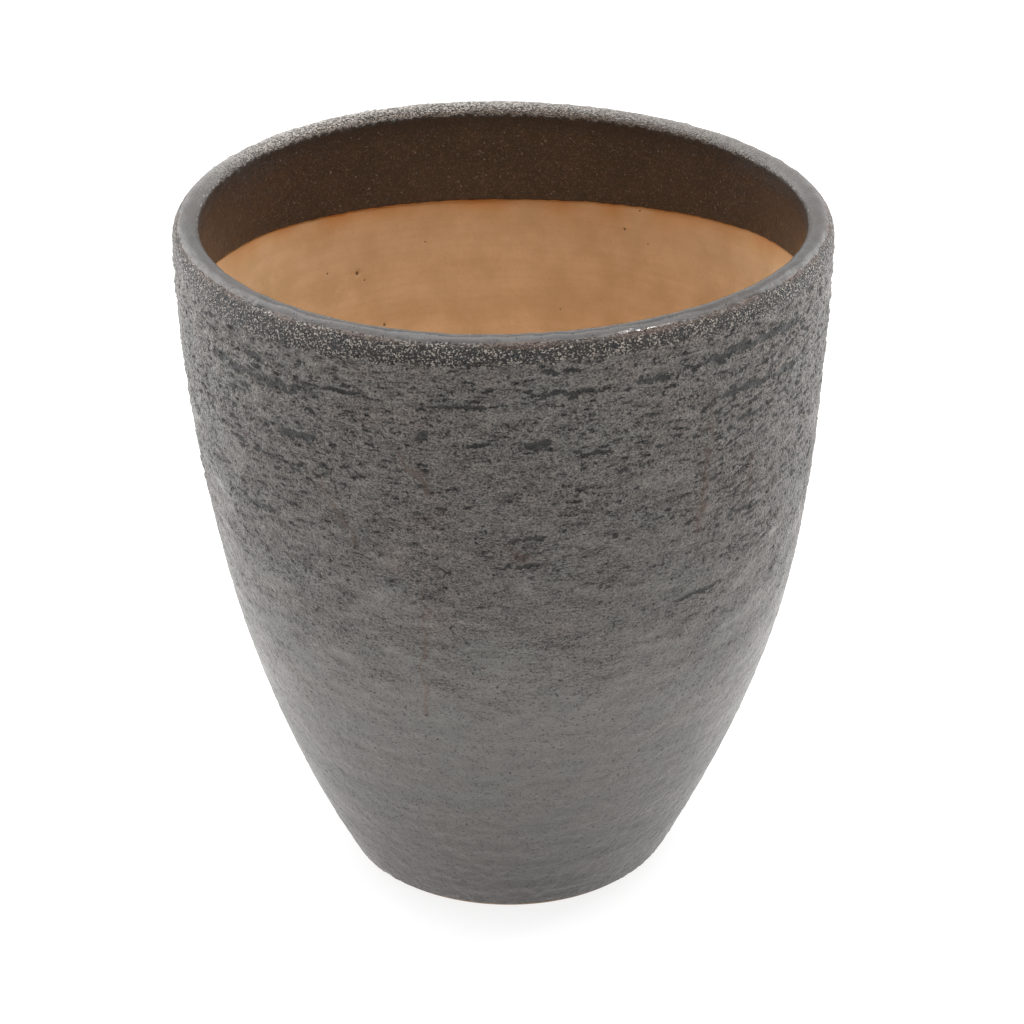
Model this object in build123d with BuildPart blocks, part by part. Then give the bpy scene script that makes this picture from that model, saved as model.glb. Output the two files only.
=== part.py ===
from build123d import *
import os
from math import cos, radians, sin

# Glazed terracotta plant pot: one fired clay body and the three glaze coats fused to it.
#
# Millimetres, +Z up. The origin is the centre of the foot, on the ground. Each piece is a
# section in the XZ half plane, turned about Z. An inset is measured square to the glazed
# outside of the wall, so one outline serves the clay and every coat on it. The rim was
# dipped at a slant: the inner coat reaches deepest towards +Y.

# Driving dimensions
RIM_DIAMETER = 270.0  # over the glaze
HEIGHT = 297.0  # over the glaze
WALL = 10.8  # over both coats
GLAZE = 0.9  # thickness of one coat
SHOULDER_RADIUS = 6.9  # outer rounding of the lip, over the glaze
FLOOR_TOP = 15.0
FLOOR_ROUNDING = 16.0  # between the floor and the wall
FOOT_ROUNDING = 1.5  # outer edge of the foot
FOOT_RING_WIDTH = 14.0
FOOT_RECESS = 2.5  # how far the middle of the underside stands off the ground
RECESS_ROUNDING = 1.0
DRAIN_DIAMETER = 22.0
DRAIN_ROUNDING = 1.5  # both edges of the drain hole

# The wall leans in towards the foot in tangent arcs: the height at which each one ends,
# and its lean from the vertical there, in degrees. The last one passes the ground.
WALL_ARCS = [(201.0, 5.5), (66.0, 20.7), (-20.0, 29.4)]

# Where the coats end
FOOT_LINE = 1.8  # the outer coat stops this far above the ground
LIP_LINE = 289.0  # the lip coat meets the other two here, and the wall is upright above it
DIP_LINE = 266.8  # height of the inner coat's lower edge, on the pot's axis
DIP_SLANT = 6.7  # slant of that edge, in degrees

RIM_RADIUS = RIM_DIAMETER / 2
SHOULDER_TOP = HEIGHT - SHOULDER_RADIUS
MOUTH_ROUNDING = WALL - SHOULDER_RADIUS  # inner rounding of the lip, over the glaze
INNER_CLAY = WALL - GLAZE  # inset of the clay's inner face


def wall_profile(inset, mode=Mode.ADD):
    """Face from the axis out to the wall's outline, from the lip line to below the ground."""
    with BuildLine() as outline:
        end = Vector(RIM_RADIUS - inset, LIP_LINE)
        top, lean = LIP_LINE, 0.0
        for bottom, next_lean in WALL_ARCS:
            radius = (top - bottom) / (sin(radians(next_lean)) - sin(radians(lean)))
            heading = (-sin(radians(lean)), -cos(radians(lean)))
            arc = JernArc(end, heading, radius - inset, lean - next_lean)
            end = arc @ 1
            top, lean = bottom, next_lean
        Polyline(end, (0, end.Y), (0, LIP_LINE), (RIM_RADIUS - inset, LIP_LINE))
    make_face(outline.edges(), mode=mode)


def lip_profile(inset, mode=Mode.ADD):
    """Face of the rounded lip above the lip line."""
    with BuildLine() as outline:
        shoulder = Line((RIM_RADIUS - inset, LIP_LINE), (RIM_RADIUS - inset, SHOULDER_TOP))
        crown = JernArc(shoulder @ 1, (0, 1), SHOULDER_RADIUS - inset, 90)
        mouth = JernArc(crown @ 1, (-1, 0), MOUTH_ROUNDING - inset, 90)
        Polyline(mouth @ 1, (RIM_RADIUS - WALL + inset, LIP_LINE), shoulder @ 0)
    make_face(outline.edges(), mode=mode)


def cut_below(height):
    """Takes away everything in the sketch that is lower than height."""
    with Locations((0, height)):
        Rectangle(RIM_DIAMETER, HEIGHT, align=(Align.CENTER, Align.MAX), mode=Mode.SUBTRACT)


# Clay body: the outside with its lip, less the cavity, the foot's recess and the drain hole
with BuildPart() as clay_body:
    with BuildSketch(Plane.XZ) as outside:
        wall_profile(GLAZE)
        lip_profile(GLAZE)
        cut_below(0)
        foot_corner = outside.vertices().group_by(Axis.Y)[0].sort_by(Axis.X)[-1]
        foot_radius = foot_corner.X
        fillet(foot_corner, radius=FOOT_ROUNDING)
    revolve(axis=Axis.Z)

    with BuildSketch(Plane.XZ) as cavity:
        wall_profile(INNER_CLAY)
        cut_below(FLOOR_TOP)
        floor_corner = cavity.vertices().group_by(Axis.Y)[0].sort_by(Axis.X)[-1]
        fillet(floor_corner, radius=FLOOR_ROUNDING)
    revolve(axis=Axis.Z, mode=Mode.SUBTRACT)

    with BuildSketch(Plane.XY):
        Circle(foot_radius - FOOT_RING_WIDTH)
    extrude(amount=FOOT_RECESS, mode=Mode.SUBTRACT)
    ground_circles = clay_body.edges().filter_by(GeomType.CIRCLE).group_by(Axis.Z)[0]
    fillet(ground_circles.sort_by(SortBy.RADIUS)[0], radius=RECESS_ROUNDING)

    with Locations((0, 0, FLOOR_TOP)):
        Hole(DRAIN_DIAMETER / 2)
    level_circles = clay_body.edges().filter_by(GeomType.CIRCLE).filter_by(Plane.XY)
    fillet(level_circles.sort_by(SortBy.RADIUS)[:2], radius=DRAIN_ROUNDING)

# Outer coat: the whole outside of the wall, from just above the foot to the lip
with BuildPart() as outer_glaze:
    with BuildSketch(Plane.XZ):
        wall_profile(0)
        wall_profile(GLAZE, mode=Mode.SUBTRACT)
        cut_below(FOOT_LINE)
    revolve(axis=Axis.Z)

# Lip coat: over the rounded lip, down to the lip line on both sides
with BuildPart() as lip_glaze:
    with BuildSketch(Plane.XZ):
        lip_profile(0)
        lip_profile(GLAZE, mode=Mode.SUBTRACT)
    revolve(axis=Axis.Z)

# Inner coat: a collar inside the mouth, with its slanting lower edge
with BuildPart() as inner_glaze:
    with BuildSketch(Plane.XZ):
        wall_profile(INNER_CLAY)
        wall_profile(WALL, mode=Mode.SUBTRACT)
        cut_below(FLOOR_TOP)
    revolve(axis=Axis.Z)
    slant_normal = (0, sin(radians(DIP_SLANT)), cos(radians(DIP_SLANT)))
    split(bisect_by=Plane(origin=(0, 0, DIP_LINE), z_dir=slant_normal))

clay_body.part.label = "clay_body"
outer_glaze.part.label = "outer_glaze"
lip_glaze.part.label = "lip_glaze"
inner_glaze.part.label = "inner_glaze"

os.makedirs("parts", exist_ok=True)
export_step(clay_body.part, "parts/clay_body.step")
export_step(outer_glaze.part, "parts/outer_glaze.step")
export_step(lip_glaze.part, "parts/lip_glaze.step")
export_step(inner_glaze.part, "parts/inner_glaze.step")
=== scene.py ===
"""Looks for the glazed terracotta pot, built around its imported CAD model.

Metres, +Z up, in the CAD model's own frame. The pot's four pieces are dense turned meshes
that follow the CAD outlines. A relief worked out on one grid, round the pot and along its
glazed outline from the foot over the lip to the inner coat's edge, shapes the glaze, and
the same grid says where its material looks different. Fine grain comes from the material.
"""

import math

import bpy
import numpy as np
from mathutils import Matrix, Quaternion, Vector


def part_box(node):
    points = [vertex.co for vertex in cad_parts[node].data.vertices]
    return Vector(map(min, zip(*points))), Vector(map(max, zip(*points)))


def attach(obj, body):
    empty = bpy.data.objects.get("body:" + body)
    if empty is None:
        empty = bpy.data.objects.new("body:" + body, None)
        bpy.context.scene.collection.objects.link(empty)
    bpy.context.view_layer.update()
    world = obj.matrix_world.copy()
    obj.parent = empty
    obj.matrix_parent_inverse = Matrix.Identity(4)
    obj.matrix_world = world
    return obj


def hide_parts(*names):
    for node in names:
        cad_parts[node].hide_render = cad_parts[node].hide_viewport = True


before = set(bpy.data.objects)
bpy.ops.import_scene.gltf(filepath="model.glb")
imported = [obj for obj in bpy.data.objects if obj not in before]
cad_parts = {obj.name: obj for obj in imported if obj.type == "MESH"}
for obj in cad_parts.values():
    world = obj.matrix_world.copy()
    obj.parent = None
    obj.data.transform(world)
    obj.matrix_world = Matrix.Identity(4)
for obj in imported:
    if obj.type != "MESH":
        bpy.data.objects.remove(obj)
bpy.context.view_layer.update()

MM = 0.001

# ---------------------------------------------------------------- sizes read from the frame
clay_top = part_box("clay_body")[1].z
lip_low, lip_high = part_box("lip_glaze")
HEIGHT = lip_high.z
RIM = lip_high.x
LIP_LINE = lip_low.z
GLAZE = HEIGHT - clay_top
FOOT_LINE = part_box("outer_glaze")[0].z


def section(node):
    """Places and normals, as (radius, height), of a node's vertices on its +X meridian."""
    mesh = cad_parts[node].data
    values = []
    for name in ("co", "normal"):
        flat = np.empty(3 * len(mesh.vertices), np.float32)
        mesh.vertices.foreach_get(name, flat)
        values.append(flat.reshape(-1, 3).astype(float))
    place, normal = values
    here = (abs(place[:, 1]) < MM / 1000) & (place[:, 0] > 0)
    return place[here][:, [0, 2]], normal[here][:, [0, 2]]


def smooth_curve(x, y):
    """A smooth function through the points (x, y)."""
    slope = np.gradient(y, x)

    def curve(at):
        i = np.clip(np.searchsorted(x, at) - 1, 0, len(x) - 2)
        span = x[i + 1] - x[i]
        t = (at - x[i]) / span
        rise = (3 - 2 * t) * t * t
        start = t * (1 - t) ** 2 * span * slope[i]
        stop = t * t * (1 - t) * span * slope[i + 1]
        return y[i] + rise * (y[i + 1] - y[i]) + start - stop

    return curve


def wall_curve(node, side, low):
    """Radius against height of the wall faces that look out (side 1) or in (side -1)."""
    place, normal = section(node)
    height = place[:, 1]
    wall = (side * normal[:, 0] > 0.8) & (height > low - MM / 10) & (height < LIP_LINE + MM / 10)
    points = np.unique(np.round(place[wall][:, ::-1], 6), axis=0)
    return smooth_curve(points[:, 0], points[:, 1])


clay_place, clay_normal = section("clay_body")
lip_place, _ = section("lip_glaze")
clay_radius, clay_height = clay_place.T
on_ground = clay_height < MM / 100
DRAIN_RADIUS = clay_radius.min()
FLOOR = clay_height[(clay_normal[:, 1] > 0.9) & (clay_height < HEIGHT / 2)].max()
RECESS = clay_height[(clay_normal[:, 1] < -0.9) & (clay_height > MM)].min()
RING_INNER = clay_radius[on_ground].min()
RING_OUTER = clay_radius[on_ground].max()
CROWN_RADIUS = lip_place[lip_place[:, 1].argmax(), 0]
MOUTH_RADIUS = lip_place[:, 0].min()
INSIDE_LOW = 2.2 * FLOOR  # below this the floor's rounding hides the wall's own outline
outer_wall = wall_curve("outer_glaze", 1, 0)
inner_wall = wall_curve("clay_body", -1, INSIDE_LOW)

# The inner coat's lower edge lies in a plane that dips towards +Y
DIP_LINE = section("inner_glaze")[0][:, 1].min()
DIP_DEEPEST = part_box("inner_glaze")[0].z

# Roundings of the clay that the frame doesn't name
FLOOR_ROUNDING = 16 * MM
DRAIN_ROUNDING = 1.5 * MM
FOOT_ROUNDING = 1.5 * MM
RECESS_ROUNDING = 1.0 * MM


# ---------------------------------------------------------------- outlines
def arc(radius, height, size, start, stop, count=40):
    """Points (radius, height) on an arc about (radius, height), from start to stop degrees."""
    turn = np.radians(np.linspace(start, stop, count))
    return np.column_stack([radius + size * np.cos(turn), height + size * np.sin(turn)])


def wall_points(curve, start, stop, count=1500):
    """Points (radius, height) on a wall's curve, from the height start to stop."""
    heights = np.linspace(start, stop, count)
    return np.column_stack([curve(heights), heights])


def along(outline):
    """Distance of each point of an outline from its start."""
    return np.concatenate([[0], np.cumsum(np.hypot(*np.diff(outline, axis=0).T))])


def resample(outline, positions):
    """Points of an outline at distances along it, and the outward normals there."""
    reach = along(outline)

    def at(distance):
        return np.stack([np.interp(distance, reach, outline[:, k]) for k in (0, 1)], -1)

    heading = at(positions + 0.2 * MM) - at(positions - 0.2 * MM)
    heading /= np.hypot(heading[..., 0], heading[..., 1])[..., None]
    return at(positions), np.stack([heading[..., 1], -heading[..., 0]], -1)


def spread(start, stop, spacing):
    """Evenly spaced distances from start to stop, both included."""
    return np.linspace(start, stop, max(2, round((stop - start) / spacing) + 1))


def lip_outline(inset):
    """Over the lip, from the lip line outside to the lip line inside."""
    shoulder = RIM - CROWN_RADIUS
    mouth = CROWN_RADIUS - MOUTH_RADIUS
    return np.vstack([
        [[RIM - inset, LIP_LINE]],
        arc(CROWN_RADIUS, HEIGHT - shoulder, shoulder - inset, 0, 90),
        arc(CROWN_RADIUS, HEIGHT - mouth, mouth - inset, 90, 180)[1:],
        [[MOUTH_RADIUS + inset, LIP_LINE]],
    ])


def cavity_outline():
    """Down the inside of the clay, and round on to the floor, which the last point is on."""
    height = np.linspace(LIP_LINE, 1.5 * FLOOR, 1500)
    # Below the wall that can be read, the wall goes on straight at its last lean
    last = inner_wall(INSIDE_LOW)
    lean = (inner_wall(INSIDE_LOW + MM) - last) / MM
    radius = np.where(height > INSIDE_LOW, inner_wall(height), last + (height - INSIDE_LOW) * lean)
    turned = math.degrees(math.atan(lean))
    centre_height = FLOOR + FLOOR_ROUNDING
    touch = np.interp(-centre_height, -height, radius)
    centre = touch - FLOOR_ROUNDING / math.cos(math.radians(turned))
    rounding = arc(centre, centre_height, FLOOR_ROUNDING, -turned, -90)
    wall = np.column_stack([radius, height])
    return np.vstack([wall[height > rounding[0, 1]], rounding])


outside = wall_points(outer_wall, FOOT_LINE, LIP_LINE)
over_lip = lip_outline(0)
inside = wall_points(lambda height: inner_wall(height) - GLAZE, LIP_LINE, DIP_DEEPEST - 4 * MM)
glazed = np.vstack([outside, over_lip[1:], inside[1:]])
LIP_START = along(outside)[-1]
LIP_END = LIP_START + along(over_lip)[-1]
CROWN = LIP_START + np.interp(0, CROWN_RADIUS - over_lip[:, 0], along(over_lip))


# ---------------------------------------------------------------- reliefs
class Grid:
    """Fields in columns round the pot, with rows at even distances along an outline."""

    def __init__(self, outline, row, columns, seed):
        self.row = row
        self.columns = columns
        self.rows = int(along(outline)[-1] / row) + 2
        self.rng = np.random.default_rng(seed)
        self.turn = (np.arange(columns) * 360 / columns)[None, :]
        self.distance = (np.arange(self.rows) * row)[:, None]
        place, _ = resample(outline, self.distance[:, 0])
        self.radius = place[:, :1]
        self.height = place[:, 1:]

    def texture(self, length, width):
        """Random relief of unit spread, with features length round the pot and width along."""
        step_round = 2 * math.pi * RIM / self.columns
        round_pot = np.fft.fftfreq(self.columns, step_round)[None, :] * length
        upward = np.fft.fftfreq(self.rows, self.row)[:, None] * width
        k = np.hypot(round_pot, upward)
        noise = self.rng.standard_normal((self.rows, self.columns))
        field = np.fft.ifft2(np.fft.fft2(noise) * k**2 * np.exp(-(k**2))).real
        return field / field.std()

    def gap(self, degrees):
        """Distance round the pot from a direction."""
        return np.radians((self.turn - degrees + 180) % 360 - 180) * self.radius

    def near(self, degrees, reach):
        """How near a direction a column is: 1 there, and falling away over reach degrees."""
        return np.exp(-((((self.turn - degrees + 180) % 360 - 180) / reach) ** 2))

    def at(self, field, positions):
        """Values of a field at distances along the outline, for every column."""
        row = np.clip(positions / self.row, 0, self.rows - 1.001)
        low = row.astype(int)
        share = row - low
        column = np.arange(self.columns)[None, :]
        return field[low, column] * (1 - share) + field[low + 1, column] * share


def step(value, low, high):
    """Smooth step from 0 at low to 1 at high."""
    t = np.clip((value - low) / (high - low), 0, 1)
    return t * t * (3 - 2 * t)


# Grooves in the coarse glaze: direction in degrees, and height, length and width in mm
GROOVES = [
    (222, 267, 58, 2.8), (232, 267, 13, 5.2), (224, 234, 50, 1.3), (233, 247, 20, 4.2),
    (224, 276, 11, 2.6), (221, 207, 20, 2.6), (241, 270, 26, 1.3), (263, 271, 30, 1.7),
    (280, 274, 28, 2.0), (279, 283, 18, 1.8), (275, 253, 12, 3.4), (284, 248, 16, 2.2),
    (266, 255, 16, 1.6), (273, 212, 16, 1.8), (256, 257, 6, 4.0), (295, 276, 20, 2.2),
    (310, 277, 50, 4.0), (323, 277, 30, 3.6), (314, 259, 36, 4.4), (326, 259, 18, 3.6),
    (316, 246, 18, 2.4), (316, 203, 22, 1.6), (306, 173, 24, 1.8), (272, 200, 20, 1.3),
]
# Brown runs: direction and height of the top, then of the foot, and the width
RUNS = [
    (235.4, 238, 243.0, 203, 1.7), (251.5, 250, 257.5, 233, 2.8), (306.6, 262, 304.7, 203, 2.2),
    (317.0, 232, 316.0, 212, 2.2), (255.8, 198, 253.4, 124, 1.3), (269.5, 210, 272.5, 204, 2.6),
]

# Directions round the pot, in degrees from +X
FRONT = 270  # where the camera stands
BACK = FRONT - 180
BACK_LEFT = FRONT - 150  # where the lip has the most crystals
LEFT_FRONT = 222  # the band under the lip hangs lower here
RIGHT_BACK = 50  # and here
RIGHT_FRONT = 318  # the wall has more pits here

glaze = Grid(glazed, 0.8 * MM, 1080, seed=20)


def glaze_looks(grid):
    """Where each look of the glaze lies, from 0 to 1, and how coarse its grain is.

    outer is the wall below the lip's crown, and side is the wall away from front and back.
    """
    ragged = grid.texture(6 * MM, 4 * MM) * MM
    from_crown = CROWN - grid.distance
    back = grid.near(BACK, 75)
    outer = step(from_crown, 0, 5 * MM)
    upper = step(grid.height, 0.28 * HEIGHT, 0.90 * HEIGHT) * outer

    # The band outside and the collar inside, with the smoother lip between them
    band_foot = (12.5 + 4 * grid.near(LEFT_FRONT, 35) + 5 * grid.near(RIGHT_BACK, 60)) * MM
    below_lip = step(from_crown + 0.25 * ragged, 4.2 * MM, 6.4 * MM)
    band = below_lip * (1 - step(from_crown - band_foot + 0.8 * ragged, -1.5 * MM, 2.0 * MM))
    collar = step(0.4 * ragged - from_crown, (2.2 + 3.0 * back) * MM, (5.2 + 3.0 * back) * MM)
    lip = (1 - below_lip) * (1 - collar)

    # The grain coarsens up the wall, and the lip in front is nearly smooth
    uneven = 0.10 * grid.texture(60 * MM, 30 * MM) + 0.10 * grid.texture(26 * MM, 9 * MM)
    grain = np.clip(0.20 + 0.75 * upper + uneven * (0.2 + 0.8 * upper), 0.1, 1)
    grain *= 1 - 0.85 * lip * (1 - back)

    # Pits, more of them at the sides, and the collar's dark upper edge
    pit = grid.texture(13 * MM, 2.3 * MM) + 0.40 * grid.texture(4.0 * MM, 1.7 * MM)
    side = (1 - grid.near(FRONT, 42)) * (1 - 0.9 * back)
    pit = step(pit + 0.65 * side + 0.25 * grid.near(RIGHT_FRONT, 20), 0.9, 2.1)
    pit *= (0.05 + 0.95 * grain) * outer
    pit *= (1 - 0.8 * band) * (1 - lip)
    pit += collar * (1 - step(-from_crown, (5 + 3 * back) * MM, (15 + 3 * back) * MM))

    sparkle = lip * (0.35 * back + 0.65 * grid.near(BACK_LEFT, 38))
    return {
        "band": band, "collar": collar, "lip": lip, "grain": grain, "pit": pit,
        "sparkle": sparkle, "outer": outer, "side": side,
    }


def brown_edge(grid):
    """The brown line where the band begins, under the lip."""
    uneven = 0.7 + 0.3 * grid.texture(24 * MM, 24 * MM)
    return np.exp(-(((CROWN - grid.distance - 5.6 * MM) / (1.6 * MM)) ** 2)) * uneven


def groove_field(grid, looks):
    """The named grooves, and others of the same kind all round the upper wall."""
    ragged = grid.texture(7 * MM, 2.6 * MM)
    drifting = 0.35 * grid.texture(12 * MM, 12 * MM)
    groove = np.zeros((grid.rows, grid.columns))
    for direction, height, long, wide in GROOVES:
        drift = 1.1 * MM * np.sin(np.radians(9 * grid.turn + direction))
        u = grid.gap(direction) / (0.5 * long * MM)
        v = (grid.height - height * MM + drift) / (0.5 * wide * MM) + drifting
        groove = np.maximum(groove, np.exp(-(u**4) - v**2) * (1 + 0.35 * ragged))
    scattered = step(grid.texture(34 * MM, 3.4 * MM) + 0.5 * ragged, 1.75, 2.7)
    scattered += 0.8 * step(grid.texture(70 * MM, 1.8 * MM), 2.0, 3.0)
    upper = step(looks["grain"], 0.5, 1)
    groove = groove + scattered * upper * (1 - 0.55 * grid.near(FRONT, 85))
    return np.clip(groove * looks["outer"] * (1 - 0.6 * looks["band"]), 0, 1)


def run_fields(grid, looks):
    """The brown runs, and the beads that they end in."""
    rust = np.zeros((grid.rows, grid.columns))
    bead = np.zeros((grid.rows, grid.columns))
    wander = 0.9 * MM * grid.texture(14 * MM, 14 * MM)
    for top_at, top, foot_at, foot, wide in RUNS:
        down = np.clip((top * MM - grid.height) / ((top - foot) * MM), 0, 1)
        u = grid.gap(top_at) - np.radians(foot_at - top_at) * down * grid.radius + wander
        past = np.clip(abs(grid.height - (top + foot) / 2 * MM) - (top - foot) / 2 * MM, 0, None)
        run = np.exp(-((u / (wide * MM)) ** 2) - (past / (2 * MM)) ** 2) * (0.55 + 0.45 * down)
        rust = np.maximum(rust, run)
        off = np.hypot(grid.gap(foot_at), 1.3 * (grid.height - foot * MM))
        bead = np.maximum(bead, np.exp(-((off / (1.3 * MM)) ** 2)))
    return rust * looks["outer"], bead * looks["outer"]


DEEPEST = 0.7  # share of the glaze's thickness that a pit can take away


def glaze_relief(grid, looks):
    """Height of the glaze over its plain outline, in metres, and its ridges from 0 to 1."""
    outer, band, lip, collar, grain = (looks[k] for k in ("outer", "band", "lip", "collar", "grain"))
    rings = 0.02 * grid.texture(300 * MM, 5 * MM) + 0.04 * grid.texture(260 * MM, 14 * MM)
    arcs = 0.02 * grid.texture(60 * MM, 5 * MM) + 0.06 * grid.texture(16 * MM, 9 * MM)
    lumps = 0.15 * grid.texture(5 * MM, 2.6 * MM)
    waves = 0.07 * grid.texture(16 * MM, 9 * MM)
    folds = 0.20 * grid.texture(22 * MM, 5 * MM) * step(grain, 0.3, 0.9)
    coarse = grid.texture(2.4 * MM, 2.2 * MM)
    swell = lumps + waves + folds
    relief = (rings + arcs * (1 - grain)) * outer
    relief += swell * (0.05 + 0.95 * grain) * (1 + 0.3 * looks["side"]) * outer * (1 - band)
    relief += 0.07 * coarse * band
    relief += (waves + 0.02 * coarse) * lip + (0.5 * waves + 0.02 * coarse) * collar
    relief += 0.10 * looks["rust"] + 0.45 * looks["bead"]
    relief -= (0.60 * looks["groove"] + 0.48 * looks["pit"]) * outer
    return np.maximum(relief * MM, -DEEPEST * GLAZE), np.clip(0.5 + swell, 0, 1)


looks = glaze_looks(glaze)
looks["groove"] = groove_field(glaze, looks)
looks["rust"], looks["bead"] = run_fields(glaze, looks)
relief, looks["ridge"] = glaze_relief(glaze, looks)
looks["rust"] = np.maximum(looks["rust"], brown_edge(glaze))
GLAZE_LOOKS = ("band", "collar", "lip", "sparkle", "grain", "ridge", "pit", "groove", "rust", "bead")


def wobble(turn, height):
    """How far the hand-turned wall is out of round, and fuller near its foot, in metres."""
    share = height / HEIGHT
    sway = -0.8 * np.cos(2.3 * math.pi * share) * np.cos(turn)
    oval = (0.6 * step(share, 0.75, 1) - 0.3 * step(share, 0, 0.5)) * np.cos(2 * turn)
    lobes = 0.18 * np.cos(3 * turn - 1.7 * share + 2.0) + 0.10 * np.cos(5 * turn + 2.6 * share)
    fuller = 1.0 - step(share, 0.40, 0.60)
    return (sway + oval + lobes + fuller) * MM


def rim_rise(turn, height):
    """How far the rim stands over its level, in metres: it is a little low at the right."""
    rise = -1.05 * np.cos(turn + math.radians(8)) - 0.85 * np.sin(2 * turn)
    return rise * step(height, 0.9 * HEIGHT, 0.98 * HEIGHT) * MM


# ---------------------------------------------------------------- meshes
def turned_rings(outline, positions, lift, columns):
    """Rings of points: the outline at positions, pushed out by lift, turned about the axis."""
    points, normals = resample(outline, positions)
    if positions.ndim == 1:
        points, normals = points[:, None, :], normals[:, None, :]
    turn = (np.arange(columns) * 2 * math.pi / columns)[None, :]
    radius = points[..., 0] + normals[..., 0] * lift
    height = points[..., 1] + normals[..., 1] * lift
    radius = radius + wobble(turn, height)
    height = height + rim_rise(turn, height)
    return np.stack([radius * np.cos(turn), radius * np.sin(turn), height], -1)


def turned_mesh(name, rings, corners, fields):
    """A closed mesh from rings of points: the last ring joins the first.

    The rings numbered in corners are sharp. Each field fills an attribute, from ring 0 on.
    """
    count, columns = rings.shape[:2]
    index = np.arange(count * columns).reshape(count, columns)
    right = np.roll(index, -1, axis=1)
    quads = np.stack([index, right, np.roll(right, -1, axis=0), np.roll(index, -1, axis=0)], -1)
    mesh = bpy.data.meshes.new(name)
    mesh.vertices.add(count * columns)
    mesh.vertices.foreach_set("co", rings.reshape(-1).astype(np.float32))
    mesh.loops.add(quads.size)
    mesh.loops.foreach_set("vertex_index", quads.reshape(-1).astype(np.int32))
    mesh.polygons.add(quads.size // 4)
    mesh.polygons.foreach_set("loop_start", np.arange(0, quads.size, 4, dtype=np.int32))
    mesh.polygons.foreach_set("use_smooth", np.ones(quads.size // 4, bool))
    mesh.update(calc_edges=True)
    ends = np.empty(2 * len(mesh.edges), np.int32)
    mesh.edges.foreach_get("vertices", ends)
    ring = ends.reshape(-1, 2) // columns
    sharp = (ring[:, 0] == ring[:, 1]) & np.isin(ring[:, 0], corners)
    mesh.attributes.new("sharp_edge", "BOOLEAN", "EDGE").data.foreach_set("value", sharp)
    for field, values in fields.items():
        full = np.zeros((count, columns), np.float32)
        full[: len(values)] = values
        mesh.attributes.new(field, "FLOAT", "POINT").data.foreach_set("value", full.reshape(-1))
    piece = bpy.data.objects.new(name, mesh)
    bpy.context.scene.collection.objects.link(piece)
    return piece


def rounded_edge(left, size):
    """How far a coat has sunk at the distance left from its edge, which is a quarter round."""
    into = np.clip(1 - left / size, 0, 1)
    return size * (1 - np.sqrt(1 - into**2))


BACK_RINGS = 24
THINNEST = 0.02  # share of the glaze's thickness that is left everywhere


def coat(name, rows, sunk, corners):
    """A glaze coat: its face follows the relief, less sunk, and its back lies on the clay."""
    by_column = rows if rows.ndim == 2 else rows[:, None]
    by_column = np.broadcast_to(by_column, (len(rows), glaze.columns))
    lift = np.maximum(glaze.at(relief, by_column) - sunk, (THINNEST - 1) * GLAZE)
    face = turned_rings(glazed, rows, lift, glaze.columns)
    back_rows = rows[np.linspace(len(rows) - 1, 0, BACK_RINGS).astype(int)]
    back = turned_rings(glazed, back_rows, -GLAZE, glaze.columns)
    fields = {look: glaze.at(looks[look], by_column) for look in GLAZE_LOOKS}
    sharp = [ring % (len(rows) + BACK_RINGS) for ring in corners]
    return turned_mesh(name, np.concatenate([face, back]), sharp, fields)


FOOT_EDGE = 0.7 * MM  # rounding of the outer coat's lower edge

foot_rows = spread(0, 1.5 * FOOT_EDGE, 0.2 * MM)
outer_rows = np.concatenate([foot_rows, spread(foot_rows[-1], LIP_START, glaze.row)[1:]])
outer_sunk = rounded_edge(outer_rows, FOOT_EDGE)[:, None]
outer_coat = coat("outer_coat", outer_rows, outer_sunk, [len(outer_rows) - 1, len(outer_rows)])
lip_rows = spread(LIP_START, LIP_END, 0.5 * MM)
lip_coat = coat("lip_coat", lip_rows, 0, [-1, 0, len(lip_rows) - 1, len(lip_rows)])

# The inner coat's rows crowd towards its slanting, slightly wavy edge
middle = glaze.rows // 2
ripple = 0.30 * MM * glaze.texture(90 * MM, 90 * MM)[middle]
ripple += 0.08 * MM * glaze.texture(9 * MM, 9 * MM)[middle]
slant = DIP_LINE - DIP_DEEPEST
edge_height = DIP_LINE - slant * np.sin(np.radians(glaze.turn[0])) + ripple
edge_at = np.interp(-edge_height, -inside[:, 1], LIP_END + along(inside))
share = np.concatenate([spread(0, 0.92, 0.03), 1 - 0.08 * (1 - spread(0, 1, 0.1)[1:]) ** 1.7])
inner_rows = LIP_END + share[:, None] * (edge_at - LIP_END)[None, :]
inner_sunk = rounded_edge(edge_at - inner_rows, GLAZE)
inner_coat = coat("inner_coat", inner_rows, inner_sunk, [-1, 0])

# The clay's closed outline: up the outside under the glaze, over the lip, down the inside,
# over the floor, down the drain hole, under the foot and round its outer edge
hidden = wall_points(lambda height: outer_wall(height) - GLAZE, FOOT_LINE, LIP_LINE, 300)
cavity = cavity_outline()
clay_outline = np.vstack([
    hidden,
    lip_outline(GLAZE)[1:],
    cavity[1:],
    arc(DRAIN_RADIUS + DRAIN_ROUNDING, FLOOR - DRAIN_ROUNDING, DRAIN_ROUNDING, 90, 180, 12),
    arc(DRAIN_RADIUS + DRAIN_ROUNDING, RECESS + DRAIN_ROUNDING, DRAIN_ROUNDING, 180, 270, 12),
    [[RING_INNER - RECESS_ROUNDING, RECESS]],
    arc(RING_INNER + RECESS_ROUNDING, RECESS_ROUNDING, RECESS_ROUNDING, 180, 270, 8),
    arc(RING_OUTER, FOOT_ROUNDING, FOOT_ROUNDING, 270, 340, 12),
    hidden[:1],
])
INSIDE_START = along(hidden)[-1] + along(lip_outline(GLAZE))[-1]
CLAY_LENGTH = along(clay_outline)[-1]
clay_grid = Grid(clay_outline, 1.0 * MM, 720, seed=31)

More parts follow.
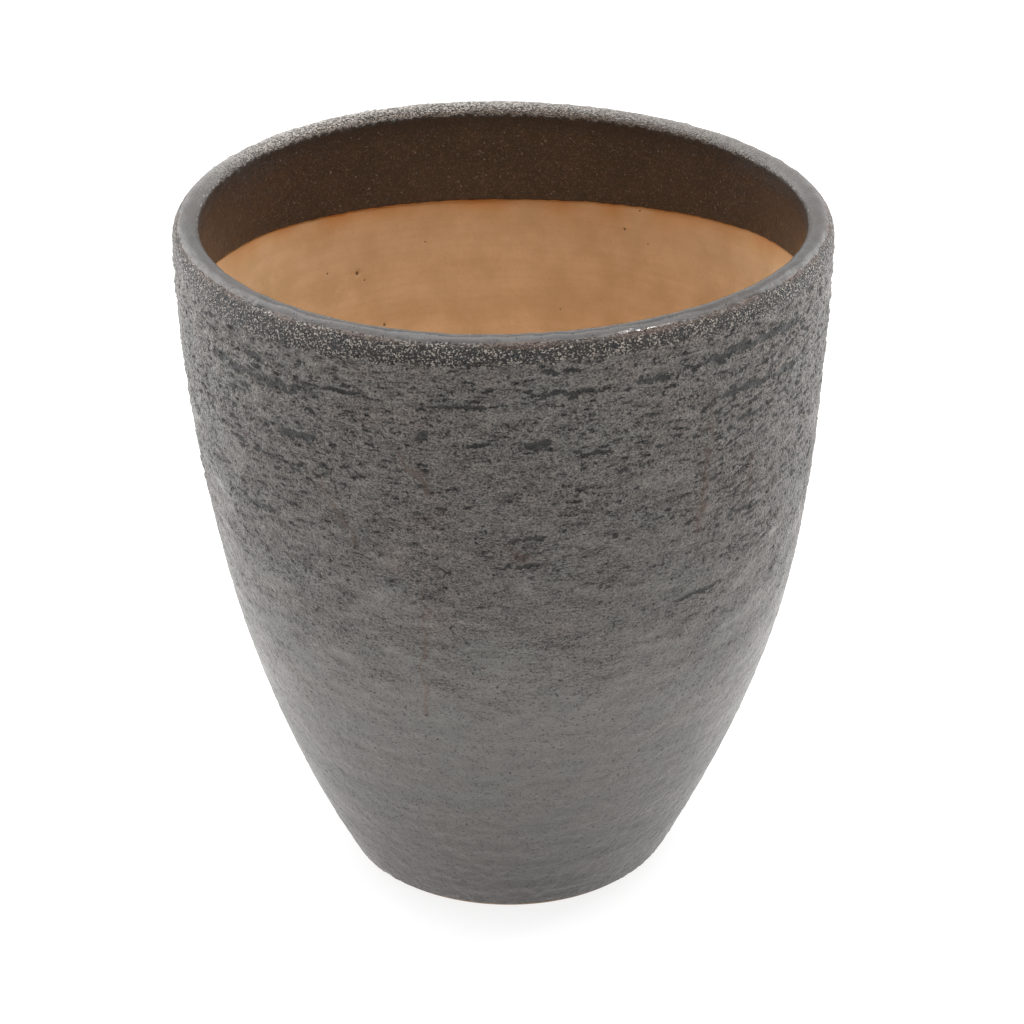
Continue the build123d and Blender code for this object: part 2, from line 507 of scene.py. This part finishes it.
# Pinholes inside: direction in degrees, and height and width in mm
PINHOLES = [
    (122.7, 225, 2.1), (130.1, 229, 1.1), (121.1, 221, 1.1), (117.2, 198, 1.7), (64.0, 242, 1.2),
    (58.5, 237, 1.0), (60.6, 252, 0.9), (107.0, 234, 0.8), (78.0, 200, 0.9),
]


def pinhole_places():
    """Where each pinhole is on the inside of the clay, and how wide it is."""
    places = []
    for degrees, height, wide in PINHOLES:
        turn = math.radians(degrees)
        radius = float(inner_wall(height * MM) + wobble(turn, height * MM))
        place = (radius * math.cos(turn), radius * math.sin(turn), height * MM)
        places.append((place, wide * MM))
    return places


def clay_relief(grid):
    """Height of the bare clay over its plain outline, in metres: throwing rings and pinholes."""
    bare = step(grid.distance, INSIDE_START + 6 * MM, INSIDE_START + 16 * MM)
    below = step(-grid.height, -FLOOR - 2 * MM, -FLOOR + MM)
    rings = 0.010 * grid.texture(500 * MM, 7 * MM) + 0.03 * grid.texture(300 * MM, 22 * MM)
    relief = rings * bare * (1 - below) * MM
    for degrees, height, wide in PINHOLES:
        off = np.hypot(grid.gap(degrees), grid.height - height * MM)
        inner = grid.distance > INSIDE_START
        relief -= inner * 0.5 * wide * MM * np.exp(-((off / (0.5 * wide * MM)) ** 2))
    return relief


def clay_fringe(grid):
    """How near the bare clay inside lies to the glaze, where it has fired redder."""
    edge = np.interp(grid.turn, np.append(glaze.turn[0], 360), np.append(edge_height, edge_height[0]))
    below = edge - grid.height
    uneven = 1 + 0.35 * grid.texture(40 * MM, 40 * MM)
    return np.exp(-((np.clip(below, 0, None) / (7 * MM)) ** 1.5)) * np.clip(uneven, 0.3, 1.7)


clay_rows = np.concatenate([
    spread(0, INSIDE_START, 6 * MM),
    spread(INSIDE_START, CLAY_LENGTH, clay_grid.row)[1:-1],
])
clay_lift = clay_grid.at(clay_relief(clay_grid), clay_rows[:, None])
clay_rings = turned_rings(clay_outline, clay_rows, clay_lift, clay_grid.columns)
clay_fields = {"fringe": clay_grid.at(clay_fringe(clay_grid), clay_rows[:, None])}
clay = turned_mesh("clay", clay_rings, [], clay_fields)


# ---------------------------------------------------------------- materials
class Shader:
    """A material whose nodes are added by the values that they give."""

    def __init__(self, name):
        self.material = bpy.data.materials.new(name)
        self.material.use_nodes = True
        self.tree = self.material.node_tree
        self.surface = self.tree.nodes["Principled BSDF"]
        self.place = self.tree.nodes.new("ShaderNodeTexCoord").outputs["Object"]

    def put(self, socket, value):
        """Sets a socket to a value, or links it to another node's output."""
        if isinstance(value, bpy.types.NodeSocket):
            self.tree.links.new(value, socket)
        else:
            socket.default_value = value

    def node(self, kind, output, inputs, **settings):
        """Adds a node and gives its output."""
        node = self.tree.nodes.new("ShaderNode" + kind)
        for name, value in settings.items():
            setattr(node, name, value)
        for name, value in inputs.items():
            self.put(node.inputs[name], value)
        return node.outputs[output]

    def field(self, name):
        """A mesh attribute."""
        return self.node("Attribute", "Fac", {}, attribute_name=name)

    def axis(self, name):
        """The object's own X, Y or Z, in metres."""
        return self.node("SeparateXYZ", name, {0: self.place})

    def math(self, operation, a, b):
        return self.node("Math", 0, {0: a, 1: b}, operation=operation)

    def times(self, a, b):
        return self.math("MULTIPLY", a, b)

    def plus(self, a, b):
        return self.math("ADD", a, b)

    def inverse(self, value):
        return self.math("SUBTRACT", 1, value)

    def centred(self, value):
        """A noise from 0 to 1 as one about 0."""
        return self.math("SUBTRACT", value, 0.5)

    def noise(self, size, flat=1, detail=2, rough=0.5, warp=0):
        """Soft noise from 0 to 1, with features of a size in metres, flattened in height."""
        scale = (1 / size, 1 / size, flat / size)
        place = self.node("VectorMath", 0, {0: self.place, 1: scale}, operation="MULTIPLY")
        inputs = {"Vector": place, "Scale": 1, "Detail": detail, "Roughness": rough}
        return self.node("TexNoise", 0, {**inputs, "Distortion": warp})

    def crystals(self, size):
        """Crystals of a size in metres: a random shade each, and the slope of its faces."""
        tint = self.node("TexVoronoi", "Color", {"Vector": self.place, "Scale": 1 / size})
        shade = self.node("SeparateColor", 0, {"Color": tint})
        return shade, tint.node.outputs["Distance"]

    def ramp(self, value, low, high, start=0.0, stop=1.0):
        """Start where value is at low, stop where it is at high, and smooth in between."""
        inputs = {"Value": value, "From Min": low, "From Max": high, "To Min": start, "To Max": stop}
        return self.node("MapRange", 0, inputs, interpolation_type="SMOOTHSTEP")

    def scaled(self, colour, factor):
        """A colour made lighter or darker by a factor."""
        return self.node("VectorMath", 0, {0: colour, "Scale": factor}, operation="SCALE")

    def mix(self, share, a, b):
        """Colour a where share is 0, and b where it is 1."""
        return self.node("Mix", 2, {0: share, 6: a, 7: b}, data_type="RGBA")

    def bump(self, height, depth):
        return self.node("Bump", 0, {"Height": height, "Distance": depth, "Strength": 1.0})

    def finish(self, **inputs):
        """Sets the surface's inputs, whose names have underscores for spaces here."""
        for name, value in inputs.items():
            self.put(self.surface.inputs[name.replace("_", " ")], value)
        return self.material


def colour(red, green, blue):
    return (red, green, blue, 1)


class GlazeShader(Shader):
    """A shader with the looks and noises that all parts of the glaze are painted from."""

    def __init__(self, name):
        super().__init__(name)
        self.looks = {look: self.field(look) for look in GLAZE_LOOKS}
        self.dashes = self.noise(2.3 * MM, flat=2.4, detail=3, rough=0.6, warp=0.3)
        self.fine = self.noise(0.85 * MM, flat=1.3, detail=2, rough=0.6)
        self.coarse = self.noise(1.15 * MM, detail=1)
        self.shade, self.facets = self.crystals(0.7 * MM)
        self.clouds = self.noise(9 * MM, flat=1.4, detail=4, rough=0.6)
        self.patches = self.noise(34 * MM, flat=1.8, detail=2)
        self.tints = self.noise(23 * MM, flat=1.3, detail=2)
        self.drips = self.noise(16 * MM, flat=0.35, detail=2)

        self.band = self.border("band", 2.0, 0.35, 0.65)
        self.lip = self.border("lip", 1.6, 0.35, 0.65)
        self.collar = self.border("collar", 2.2, 0.35, 0.65)
        self.groove = self.border("groove", 1.4, 0.25, 0.6)
        self.pit = self.border("pit", 1.2, 0.25, 0.65)
        self.rust = self.border("rust", 1.2, 0.2, 0.9)
        self.dash = self.dark_dashes()
        self.grit_and_glint = self.pale_grit_and_glint()

    def border(self, look, jitter, low, high):
        """The share of a look, with a border that is as ragged as the grain."""
        uneven = self.times(self.centred(self.coarse), jitter)
        return self.ramp(self.plus(self.looks[look], uneven), low, high)

    def dark_dashes(self):
        """Dark dashes where the grain is coarse, and fine dark specks everywhere."""
        dash = self.plus(self.dashes, self.times(self.centred(self.clouds), 0.30))
        dash = self.times(self.ramp(dash, 0.38, 0.33), self.ramp(self.looks["grain"], 0.25, 0.95, 0.1, 1))
        return self.plus(dash, self.ramp(self.shade, 0.06, 0.04, 0, 0.6))

    def pale_grit_and_glint(self):
        """How pale the crystals of the band and the lip are: partly real crystals and partly painted
        glints.
        """
        grit_and_glint = self.plus(self.times(self.fine, 0.75), self.times(self.dashes, 0.25))
        return self.plus(grit_and_glint, self.times(self.centred(self.shade), 0.14))


def skin_paint(s):
    """Warm grey with faint green and pink patches, paler on its ridges and black in its pits; painted
    shade makes it darker towards the foot.
    """
    paint = s.mix(s.ramp(s.patches, 0.35, 0.65), colour(0.164, 0.142, 0.126), colour(0.153, 0.145, 0.129))
    paint = s.mix(s.ramp(s.tints, 0.55, 0.75, 0, 0.3), paint, colour(0.188, 0.141, 0.125))
    level = s.axis("Z")
    flush = s.times(s.ramp(level, 0.06, 0, 0, 0.6), s.ramp(s.axis("X"), 0.03, -0.06))
    paint = s.mix(flush, paint, colour(0.205, 0.142, 0.125))
    # Painted shade: the colour is scaled from dark at the foot to light at the lip
    paint = s.scaled(paint, s.plus(0.34, s.times(level, 0.96 / HEIGHT)))
    grain = s.looks["grain"]
    swell = s.plus(s.times(s.looks["ridge"], 0.08), s.plus(s.times(s.fine, 0.80), s.times(s.dashes, 0.12)))
    swell = s.times(s.centred(swell), s.ramp(grain, 0.15, 0.95, 0.25, 1))
    mottle = s.times(s.centred(s.clouds), s.ramp(grain, 0.3, 0.8, 0.10, 0))
    paint = s.scaled(paint, s.ramp(s.plus(swell, mottle), -0.13, 0.13, 0.42, 1.62))
    return s.mix(s.plus(s.dash, s.times(s.pit, 0.85)), paint, colour(0.006, 0.006, 0.006))


def band_paint(s):
    """Under the lip: nearly black and brown, with light crystals that are partly painted glints."""
    paint = s.mix(s.ramp(s.tints, 0.4, 0.6), colour(0.006, 0.006, 0.005), colour(0.022, 0.013, 0.008))
    # The light crystals are partly real and partly painted glints
    return s.mix(s.ramp(s.grit_and_glint, 0.54, 0.60), paint, colour(0.60, 0.52, 0.45))


def lip_paint(s):
    """Dark and smooth in front and paler towards the back, with pale crystals at the back that are partly
    painted glints.
    """
    paint = s.mix(s.ramp(s.patches, 0.35, 0.65), colour(0.032, 0.029, 0.027), colour(0.038, 0.030, 0.025))
    # Paler towards the back of the lip
    paint = s.mix(s.ramp(s.axis("Y"), -0.15 * RIM, 0.9 * RIM, 0, 0.8), paint, colour(0.155, 0.136, 0.121))
    paint = s.mix(s.ramp(s.coarse, 0.50, 0.34, 0, 0.7), paint, colour(0.022, 0.018, 0.016))
    speck = s.plus(s.times(s.grit_and_glint, 0.6), s.times(s.coarse, 0.4))
    # The pale crystals are partly real and partly painted glints
    pale = s.mix(s.ramp(speck, 0.42, 0.60), colour(0.09, 0.081, 0.073), colour(0.60, 0.55, 0.50))
    return s.mix(s.ramp(s.looks["sparkle"], 0.05, 0.95, 0, 0.9), paint, pale)


def collar_paint(s):
    """Inside: dark brown, nearly black below the lip, with fine paler crystals."""
    paint = s.mix(s.ramp(s.tints, 0.35, 0.65), colour(0.025, 0.0155, 0.012), colour(0.033, 0.020, 0.0150))
    paint = s.mix(s.ramp(s.drips, 0.50, 0.36, 0, 0.4), paint, colour(0.016, 0.010, 0.008))
    paint = s.mix(s.ramp(s.fine, 0.48, 0.68, 0, 0.6), paint, colour(0.085, 0.058, 0.042))
    paint = s.mix(s.ramp(s.shade, 0.75, 1.0, 0, 0.3), paint, colour(0.16, 0.12, 0.09))
    return s.mix(s.times(s.looks["pit"], 0.55), paint, colour(0.009, 0.007, 0.006))


def glaze_roughness(s):
    """Duller in the dashes and pits, and glossiest on the lip in front."""
    rough = s.ramp(s.patches, 0.3, 0.7, 0.28, 0.36)
    rough = s.plus(rough, s.times(s.plus(s.dash, s.pit), 0.15))
    gloss = s.ramp(s.axis("Y"), -0.4 * RIM, -0.8 * RIM, -0.06, 0.14)
    return s.math("SUBTRACT", rough, s.times(s.lip, gloss))


def grain_height(s):
    """The grain that is too fine for the mesh. The lip and the grooves are smoother."""
    height = s.plus(s.times(s.coarse, 1.7), s.plus(s.times(s.dashes, 2.0), s.times(s.dash, -0.4)))
    height = s.times(s.plus(height, s.times(s.fine, 0.8)), s.ramp(s.looks["grain"], 0.15, 0.9, 0.05, 1))
    height = s.times(height, s.inverse(s.times(s.lip, 0.9)))
    height = s.math("SUBTRACT", height, s.times(s.facets, s.plus(s.band, s.looks["sparkle"])))
    return s.times(height, s.inverse(s.times(s.groove, 0.5)))


def glaze_material(name):
    """Reduction-fired iron glaze: grey with dark pits, brown where it lies thin."""
    s = GlazeShader(name)
    body = s.mix(s.band, skin_paint(s), band_paint(s))
    body = s.mix(s.lip, body, lip_paint(s))
    body = s.mix(s.collar, body, collar_paint(s))
    body = s.mix(s.times(s.groove, 0.92), body, colour(0.009, 0.0102, 0.0088))
    body = s.mix(s.times(s.rust, 0.7), body, colour(0.112, 0.062, 0.040))
    body = s.mix(s.ramp(s.looks["bead"], 0.35, 0.8), body, colour(0.010, 0.008, 0.007))
    bump = s.bump(grain_height(s), 1.1 * MM)
    return s.finish(Base_Color=body, Roughness=glaze_roughness(s), Normal=bump, IOR=1.55)


def clay_material():
    """Bare fired terracotta."""
    s = Shader("bare_terracotta")
    fringe = s.field("fringe")
    mottle = s.noise(18 * MM, detail=4, rough=0.6)
    streaks = s.noise(60 * MM, flat=22, detail=3)
    sand = s.noise(1.3 * MM, detail=3, rough=0.6)
    grog = s.noise(4.5 * MM, detail=2)

    body = s.mix(s.ramp(mottle, 0.3, 0.7), colour(0.575, 0.385, 0.21), colour(0.675, 0.468, 0.275))
    body = s.mix(s.ramp(streaks, 0.40, 0.70, 0, 0.18), body, colour(0.50, 0.315, 0.16))
    body = s.mix(s.ramp(sand, 0.42, 0.26, 0, 0.35), body, colour(0.42, 0.24, 0.12))
    # Painted shade under the pot: the clay is darker in its lowest 6 mm
    body = s.mix(s.ramp(s.axis("Z"), 6 * MM, 0, 0, 0.7), body, colour(0.16, 0.09, 0.05))
    body = s.mix(s.ramp(grog, 0.70, 0.80, 0, 0.5), body, colour(0.74, 0.55, 0.36))
    body = s.mix(s.times(fringe, 0.55), body, colour(0.56, 0.25, 0.075))
    # Painted shade: a dark spot in each pinhole
    for place, wide in pinhole_places():
        off = s.node("VectorMath", "Value", {0: s.place, 1: place}, operation="DISTANCE")
        body = s.mix(s.ramp(off, 0.60 * wide, 0.25 * wide), body, colour(0.05, 0.022, 0.012))

    height = s.plus(s.times(sand, 0.5), s.times(streaks, 0.4))
    rough = s.ramp(mottle, 0.3, 0.7, 0.82, 0.94)
    return s.finish(Base_Color=body, Roughness=rough, Normal=s.bump(height, 0.15 * MM))


def floor_material():
    """White paper that glows with painted light: a painted contact shadow at the pot's foot, brightest a
    little way out, and dimmer towards the camera.
    """
    s = Shader("studio_floor")
    depth = s.axis("Y")
    away = s.node("VectorMath", "Value", {0: s.place}, operation="LENGTH")
    # Painted light: the floor glows, dimmer right at the foot as a painted contact shadow, brightest a
    # little way round the pot, and fading towards the camera
    painted_glow = s.times(s.ramp(away, 0.05, 0.25, 0.83, 1.22), s.ramp(depth, -0.9, -0.3, 0.25, 1))
    glow = {"Emission_Color": colour(1, 1, 1), "Emission_Strength": painted_glow}
    return s.finish(Base_Color=colour(0.2, 0.2, 0.2), Roughness=0.9, **glow)


PIECES = [
    (outer_coat, "outer_glaze", "outer_glaze", glaze_material("outer_iron_glaze")),
    (lip_coat, "lip_glaze", "lip_glaze", glaze_material("lip_iron_glaze")),
    (inner_coat, "inner_glaze", "inner_glaze", glaze_material("inner_iron_glaze")),
    (clay, "clay_body", "raw_clay", clay_material()),
]
for piece, node, slot, material in PIECES:
    piece.data.materials.append(material)
    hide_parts(node)
    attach(piece, "root")


# ---------------------------------------------------------------- studio
def aimed(place, target):
    """The turn that makes a camera or lamp at place look at target."""
    return (Vector(target) - Vector(place)).to_track_quat("-Z", "Y")


def put_camera():
    """The camera looks down on the pot from the front, turned a little about its own axis."""
    target = Vector((1.7 * MM, 0, 0.527 * HEIGHT))
    distance, elevation, roll = 1.2714, math.radians(27.43), math.radians(0.67)
    place = Vector((0, -distance * math.cos(elevation), target.z + distance * math.sin(elevation)))
    data = bpy.data.cameras.new("camera")
    data.lens = 103.6
    camera = bpy.data.objects.new("camera", data)
    camera.location = place
    camera.rotation_mode = "QUATERNION"
    camera.rotation_quaternion = aimed(place, target) @ Quaternion((0, 0, 1), -roll)
    bpy.context.scene.collection.objects.link(camera)
    bpy.context.scene.camera = camera


def put_softbox(name, place, wide, tall, watts):
    """A rectangular lamp at place, aimed at the middle of the pot."""
    data = bpy.data.lights.new(name, "AREA")
    data.shape = "RECTANGLE"
    data.size = wide
    data.size_y = tall
    data.energy = watts
    lamp = bpy.data.objects.new(name, data)
    lamp.location = place
    lamp.rotation_mode = "QUATERNION"
    lamp.rotation_quaternion = aimed(place, (0, 0, HEIGHT / 2))
    bpy.context.scene.collection.objects.link(lamp)


def put_floor():
    """A flat floor round the pot."""
    half = 8.0  # of its side
    mesh = bpy.data.meshes.new("studio_floor")
    corners = [(-half, -half, 0), (half, -half, 0), (half, half, 0), (-half, half, 0)]
    mesh.from_pydata(corners, [], [(0, 1, 2, 3)])
    mesh.materials.append(floor_material())
    floor = bpy.data.objects.new("studio_floor", mesh)
    bpy.context.scene.collection.objects.link(floor)


def put_world(front, back):
    """A white studio whose front wall, at -Y, is dimmer than its back wall."""
    world = bpy.data.worlds.new("studio")
    world.use_nodes = True
    nodes, links = world.node_tree.nodes, world.node_tree.links
    background = nodes["Background"]
    background.inputs["Color"].default_value = (1, 1, 1, 1)
    direction = nodes.new("ShaderNodeTexCoord").outputs["Generated"]
    parts = nodes.new("ShaderNodeSeparateXYZ")
    fade = nodes.new("ShaderNodeMapRange")
    fade.interpolation_type = "SMOOTHSTEP"
    for name, value in (("From Min", -0.15), ("From Max", 0.6), ("To Min", front), ("To Max", back)):
        fade.inputs[name].default_value = value
    links.new(direction, parts.inputs[0])
    links.new(parts.outputs["Y"], fade.inputs["Value"])
    links.new(fade.outputs[0], background.inputs["Strength"])
    bpy.context.scene.world = world


put_camera()
put_floor()
put_world(0.15, 1.15)
put_softbox("left_softbox", (-1.3, 1.0, 0.9), 1.2, 1.4, 17)
put_softbox("right_softbox", (1.3, 1.0, 0.9), 1.2, 1.4, 13)
put_softbox("top_softbox", (-0.12, 0.05, 1.7), 2.2, 2.2, 35)
put_softbox("key_lamp", (0.78, -0.2, 1.6), 0.06, 0.3, 6)
bpy.context.scene.view_settings.view_transform = "Standard"
